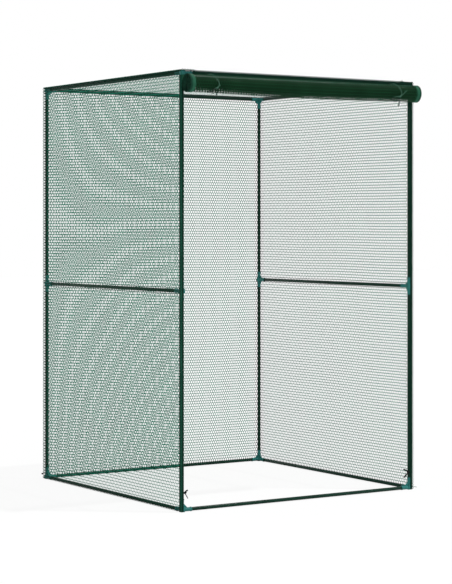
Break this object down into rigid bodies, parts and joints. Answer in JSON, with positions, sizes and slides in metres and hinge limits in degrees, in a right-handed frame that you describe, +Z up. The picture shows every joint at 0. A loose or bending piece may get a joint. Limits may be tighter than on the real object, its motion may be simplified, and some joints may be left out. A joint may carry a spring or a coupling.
{
  "type": "fruit cage",
  "caption": "Walk-in net cage on a tube frame with moulded corner connectors and a net door that rolls up to the top of the front opening.",
  "frame": {"origin": "on the ground, under the middle of the whole box, which the rolled door in front takes 39 mm ahead of the middle of the frame", "axes": "+Z up, -Y out through the doorway, +X to the right of someone who looks in through it"},
  "size_m": [1.2026, 1.2814, 1.8013],
  "materials": {
    "tube": "satin",
    "connector": "satin",
    "net": "matte",
    "door_cord": "matte",
    "post_cord": "matte"
  },
  "bodies": {
    "frame": {"bottom_rail_front": "tube", "bottom_rail_back": "tube", "bottom_rail_left": "tube", "bottom_rail_right": "tube", "top_rail_front": "tube", "top_rail_back": "tube", "top_rail_left": "tube", "top_rail_right": "tube", "mid_rail_left": "tube", "mid_rail_right": "tube", "post_front_left_lower": "tube", "post_front_left_upper": "tube", "post_front_right_lower": "tube", "post_front_right_upper": "tube", "post_back_left_lower": "tube", "post_back_left_upper": "tube", "post_back_right_lower": "tube", "post_back_right_upper": "tube", "corner_front_left_bottom": "connector", "corner_front_left_top": "connector", "corner_front_right_bottom": "connector", "corner_front_right_top": "connector", "corner_back_left_bottom": "connector", "corner_back_left_top": "connector", "corner_back_right_bottom": "connector", "corner_back_right_top": "connector", "tee_front_left": "connector", "tee_front_right": "connector", "tee_back_left": "connector", "tee_back_right": "connector", "net_left": "net", "net_right": "net", "net_back": "net", "net_roof": "net", "binding_left": "net", "binding_right": "net", "door_sleeve": "net", "roll_tie_left_front": "door_cord", "roll_tie_left_back": "door_cord", "roll_tie_right_front": "door_cord", "roll_tie_right_back": "door_cord", "post_tie_left": "post_cord", "post_tie_right": "post_cord"},
    "door_hang": {"door_curtain": "net"},
    "door_roll": {"door_roll": "net"}
  },
  "joints": [
    {"name": "door_drop", "type": "slide", "parent": "frame", "child": "door_hang", "axis": [0, 0, -1], "range_m": [0, 1.7], "deforming": ["door_curtain", "roll_tie_left_front", "roll_tie_left_back", "roll_tie_right_front", "roll_tie_right_back"]},
    {"name": "door_unroll", "type": "hinge", "parent": "door_hang", "child": "door_roll", "pos_m": [0, -0.60105, 1.7465], "axis": [1, 0, 0], "range_deg": [0, 2635]}
  ],
  "couplings": [
    {"joint": "door_unroll", "follows": "door_drop", "rad_per_m": 27.027}
  ]
}
